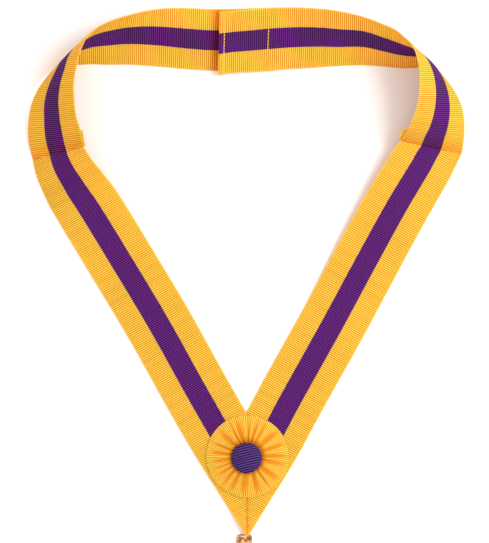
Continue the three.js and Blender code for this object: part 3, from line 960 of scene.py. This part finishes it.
def button_piece():
    """The covered button: a low dome under ribbed cloth that is drawn down over its rim."""
    around, rings = 180, 46
    reach = np.linspace(0, 1, rings + 1)[1:]
    dome = np.sin(reach * math.pi / 2)
    crown = np.cos(reach * math.pi / 2) ** BUTTON_DOME_POWER
    radius = BUTTON_RADIUS * np.concatenate([dome, BUTTON_SIDE_SHARES])
    rise = np.concatenate([BUTTON_RIM + BUTTON_CROWN * crown, BUTTON_SIDE_HEIGHTS])
    turn = np.arange(around) / around * 2 * math.pi
    x = radius[None, :] * np.cos(turn)[:, None]
    y = radius[None, :] * np.sin(turn)[:, None]
    along = -x * math.sin(BUTTON_RIB_TURN) + y * math.cos(BUTTON_RIB_TURN)
    bend = along + BUTTON_RIB_BOW * (x / BUTTON_RADIUS) ** 2
    wave = rib_wave(bend + BUTTON_RIB_SHIFT, BUTTON_RIB_PITCH)
    height = np.broadcast_to(rise[None, :], x.shape)
    lift = BUTTON_RIB_HEIGHT * wave / 2
    slope = np.concatenate([reach, [1, 1, 1]])[None, :]
    grow = 1 + lift * slope / BUTTON_RADIUS
    centre_x = POINT_X + BUTTON_ASIDE[0]
    centre_y = POINT_Y + ROSETTE_AT + BUTTON_ASIDE[1]
    grid = np.stack(
        [
            centre_x + x * grow,
            centre_y + y * grow,
            BUTTON_FLOOR + height + lift * (1 - slope**4),
        ],
        axis=-1,
    )
    middle_wave = rib_wave(BUTTON_RIB_SHIFT, BUTTON_RIB_PITCH)
    top = BUTTON_FLOOR + BUTTON_RIM + BUTTON_CROWN + BUTTON_RIB_HEIGHT / 2 * middle_wave
    ends = np.array([[centre_x, centre_y, top], [centre_x, centre_y, BUTTON_FLOOR]])
    rows, cols = x.shape
    faces = ring_faces(rows, cols).tolist()
    first, last = rows * cols, rows * cols + 1
    for k in range(rows):
        after = (k + 1) % rows
        faces.append([first, k * cols, after * cols])
        faces.append([last, after * cols + cols - 1, k * cols + cols - 1])
    points = np.concatenate([grid.reshape(-1, 3), ends])
    ribs_along = ((bend + BUTTON_RIB_SHIFT) / BUTTON_RIB_PITCH / 100).ravel()
    u = np.concatenate([ribs_along, [0.002, 0.002]])
    v = np.concatenate([(0.5 + x / (4 * BUTTON_RADIUS)).ravel(), [0.5, 0.5]])
    piece = mesh_object(
        "rosette_button_cover",
        points,
        faces,
        BUTTON,
        uvs=np.stack([u, v], axis=1),
        painted_shade=np.zeros(len(points)),
        smooth_angle=40,
    )
    dress(piece, "button", "rosette_button")


button_piece()


# The hook under the point: a flat gilt plate that opens into a long plain loop


def rounded_outline(half, top, end, corner, count):
    """Points round a plate with two rounded corners at the top and a round end below."""
    arc = np.linspace(0, math.pi, count, endpoint=False)
    quarter = np.linspace(0, math.pi / 2, count // 4)
    low = np.stack([half * np.cos(math.pi + arc), end + half + half * np.sin(math.pi + arc)], 1)
    right = np.stack(
        [half - corner + corner * np.cos(quarter), top - corner + corner * np.sin(quarter)], 1
    )
    left = np.stack([-right[::-1, 0], right[::-1, 1]], 1)
    return np.concatenate([low, right, left])


def hook_piece():
    half = HOOK_WIDTH / 2
    end = HOOK_TUCK - HOOK_LENGTH
    inner = half - HOOK_BAND
    slot_top = -HOOK_PLATE
    around, across = 160, 14
    outer_line = rounded_outline(half, HOOK_TUCK, end, HOOK_CORNER, 40)
    slot_line = rounded_outline(inner, slot_top, end + HOOK_BAND, inner * 0.98, 40)

    def by_bearing(line):
        """The outline resampled so that matching points face each other across the band."""
        low = end + half
        high = slot_top - inner
        key = np.zeros(len(line))
        for k, (x, y) in enumerate(line):
            if y < low:
                key[k] = math.atan2(x, low - y) / math.pi * 2 * inner
            elif y > high:
                key[k] = math.copysign(1, x) * (inner + high - low) + (
                    math.copysign(math.pi / 2, x) - math.atan2(x, y - high)
                ) * inner
            else:
                key[k] = math.copysign(1, x) * (inner + y - low)
        return key

    outlines = []
    for line in (outer_line, slot_line):
        key = by_bearing(line)
        order = np.argsort(key)
        line, key = line[order], key[order]
        span = key[-1] - key[0]
        wanted = np.linspace(key[0], key[-1], around, endpoint=False) + span / around / 2
        outlines.append(
            np.stack([np.interp(wanted, key, line[:, 0]), np.interp(wanted, key, line[:, 1])], 1)
        )
    share = np.linspace(0, 1, across + 1)
    flat = outlines[0][:, None, :] * (1 - share)[None, :, None]
    flat = flat + outlines[1][:, None, :] * share[None, :, None]
    width = np.linalg.norm(outlines[0] - outlines[1], axis=1)[:, None]
    edge = np.minimum(share, 1 - share)[None, :] * width
    crown = np.sqrt(np.clip(1 - (1 - np.clip(edge / HOOK_ROUND, 0, 1)) ** 2, 0, 1))
    below_ridge = (flat[..., 1] + HOOK_RIDGE_AT) / HOOK_RIDGE_WIDTH
    ridge = HOOK_RIDGE * np.exp(-(below_ridge**2)) * (edge > HOOK_ROUND)
    upper = HOOK_WALL / 2 + (HOOK_WALL / 2 - HOOK_TOP_LOSS) * crown + ridge
    lower = HOOK_WALL / 2 - (HOOK_WALL / 2 - HOOK_UNDER_LOSS) * crown
    place = flat + np.array([POINT_X - HOOK_ASIDE, POINT_Y])
    points = np.concatenate(
        [
            np.concatenate([place, upper[..., None]], axis=2).reshape(-1, 3),
            np.concatenate([place, lower[..., None]], axis=2).reshape(-1, 3),
        ]
    )
    rows, cols = upper.shape
    faces = [ring_faces(rows, cols, flip=True), ring_faces(rows, cols) + rows * cols]
    piece = mesh_object("jewel_hook_gilt", points, np.concatenate(faces).tolist(), GILT)
    dress(piece, "gilt", "jewel_hook")


hook_piece()


# Threads


def tube(points, radius, sides=8):
    """The points and faces of a thin round thread through the given points, with blunt ends."""
    points = np.asarray(points, float)
    along = unit(np.gradient(points, axis=0))
    guide = np.array([0.3, 0.5, 0.81])
    first = unit(np.cross(along, guide))
    second = np.cross(along, first)
    turn = np.arange(sides) / sides * 2 * math.pi
    share = np.linspace(-1, 1, len(points))
    size = radius * np.sqrt(np.clip(1 - np.abs(share) ** 6, 0.08, 1))
    ring = first[:, None] * np.cos(turn)[None, :, None]
    ring = ring + second[:, None] * np.sin(turn)[None, :, None]
    grid = points[:, None] + ring * size[:, None, None]
    faces = []
    rows = len(points)
    for i in range(rows - 1):
        for j in range(sides):
            k = (j + 1) % sides
            faces.append([i * sides + j, i * sides + k, (i + 1) * sides + k, (i + 1) * sides + j])
    faces.append(list(range(sides))[::-1])
    faces.append([(rows - 1) * sides + j for j in range(sides)])
    return grid.reshape(-1, 3), faces


def threads(name, lines, radius):
    points, faces = [], []
    for line in lines:
        more, sides = tube(line, radius)
        start = sum(len(p) for p in points)
        points.append(more)
        faces += [[start + k for k in face] for face in sides]
    piece = mesh_object(name, np.concatenate(points), faces, THREAD, smooth_angle=60)
    dress(piece, "ribbon")
    return piece


def stitch_row(place, name):
    surface = neck_surface("right")
    lines = []
    count = int(RIBBON_WIDTH * 0.96 / STITCH_PITCH)
    for k in range(count):
        from_v = 0.02 + k * STITCH_PITCH / RIBBON_WIDTH
        v = np.linspace(from_v, from_v + STITCH_LENGTH / RIBBON_WIDTH, STITCH_POINTS)
        point, face, _ = surface(np.full_like(v, place), v)
        arch = 1 - np.linspace(-1, 1, STITCH_POINTS) ** 4
        out = THREAD_RADIUS * (STITCH_ARCH * arch - STITCH_SUNK)
        lift = CLOTH_WALL / 2 + RIB_HEIGHT / 2 + out
        lines.append(point + upward(face) * lift[:, None])
    threads(name, lines, THREAD_RADIUS)


for k, place in enumerate(STITCH_PLACES):
    stitch_row(place, f"closure_stitches_{k + 1}")


def loose_end(surface, s, v, way, length):
    """A short thread end that curves away from a place on a ribbon's edge."""
    point, face, _ = surface(np.array([s]), np.array([v]))
    way = np.array([*way, 0.0]) / math.hypot(*way)
    t = np.linspace(0, 1, 8)[:, None]
    side = np.array([-way[1], way[0], 0.0])
    line = point + way * (length * t) + side * (LOOSE_CURL * length * t**2)
    line[:, 2] = np.maximum(line[:, 2] - LOOSE_SAG * length * t[:, 0] ** 2, 0.2 * MM)
    return line


left_neck, right_neck = neck_surface("left"), neck_surface("right")
loose = [
    loose_end(left_neck, 0.6 * MM, 1.0, (1, 0.6), 2.2 * MM),
    loose_end(left_neck, 0.3 * MM, 0.995, (1, -0.1), 1.6 * MM),
    loose_end(right_neck, NECK_PATH.length - 0.6 * MM, 1.0, (-1, 0.9), 2.0 * MM),
    loose_end(right_neck, NECK_PATH.length - 1.6 * MM, 1.0, (-1, 0.1), 1.5 * MM),
    loose_end(right_neck, RIGHT_END + 1.8 * MM, 0.003, (0.3, -1), 1.3 * MM),
    loose_end(right_neck, STITCH_PLACES[1] - 8 * MM, 0.003, (0.1, -1), 0.9 * MM),
    loose_end(right_neck, STITCH_PLACES[1] - 0.6 * MM, 0.003, (-0.4, -1), 1.2 * MM),
    loose_end(right_neck, STITCH_PLACES[1] + 4.8 * MM, 0.997, (0.1, 1), 1.4 * MM),
]
threads("thread_ends", loose, LOOSE_RADIUS)


# The table and the light

FLOOR_REACH = 4.0
FLOOR_COLOUR = colour(243, 241, 240)
KEY_POWER = 17
KEY_SIZE = 0.8
KEY_BEARING = math.radians(22)
KEY_HEIGHT = math.radians(50)
KEY_DISTANCE = 1.6
SKY_COLOUR = (1, 0.93, 0.9, 1)
SKY_STRENGTH = 1.12


def make_floor():
    mesh = bpy.data.meshes.new("table")
    corners = [(-1, -1), (1, -1), (1, 1), (-1, 1)]
    points = [(x * FLOOR_REACH, y * FLOOR_REACH, 0) for x, y in corners]
    mesh.from_pydata(points, [], [(0, 1, 2, 3)])
    n = Nodes("table")
    n.set(Base_Color=FLOOR_COLOUR, Roughness=0.9, Specular_IOR_Level=0.1)
    mesh.materials.append(n.material)
    floor = bpy.data.objects.new("table", mesh)
    bpy.context.collection.objects.link(floor)


def area_light(name, energy, size, bearing, height_angle, distance):
    data = bpy.data.lights.new(name, "AREA")
    data.shape = "DISK"
    data.size = size
    data.energy = energy
    light = bpy.data.objects.new(name, data)
    bpy.context.collection.objects.link(light)
    flat = math.cos(height_angle) * distance
    light.location = (
        flat * math.cos(bearing),
        flat * math.sin(bearing),
        math.sin(height_angle) * distance,
    )
    light.rotation_euler = (math.pi / 2 - height_angle, 0, bearing + math.pi / 2)


make_floor()
area_light("key", KEY_POWER, KEY_SIZE, KEY_BEARING, KEY_HEIGHT, KEY_DISTANCE)

world = bpy.data.worlds.new("studio")
world.use_nodes = True
sky = next(node for node in world.node_tree.nodes if node.type == "BACKGROUND")
sky.inputs["Color"].default_value = SKY_COLOUR
sky.inputs["Strength"].default_value = SKY_STRENGTH
bpy.context.scene.world = world
bpy.context.scene.view_settings.view_transform = "Standard"
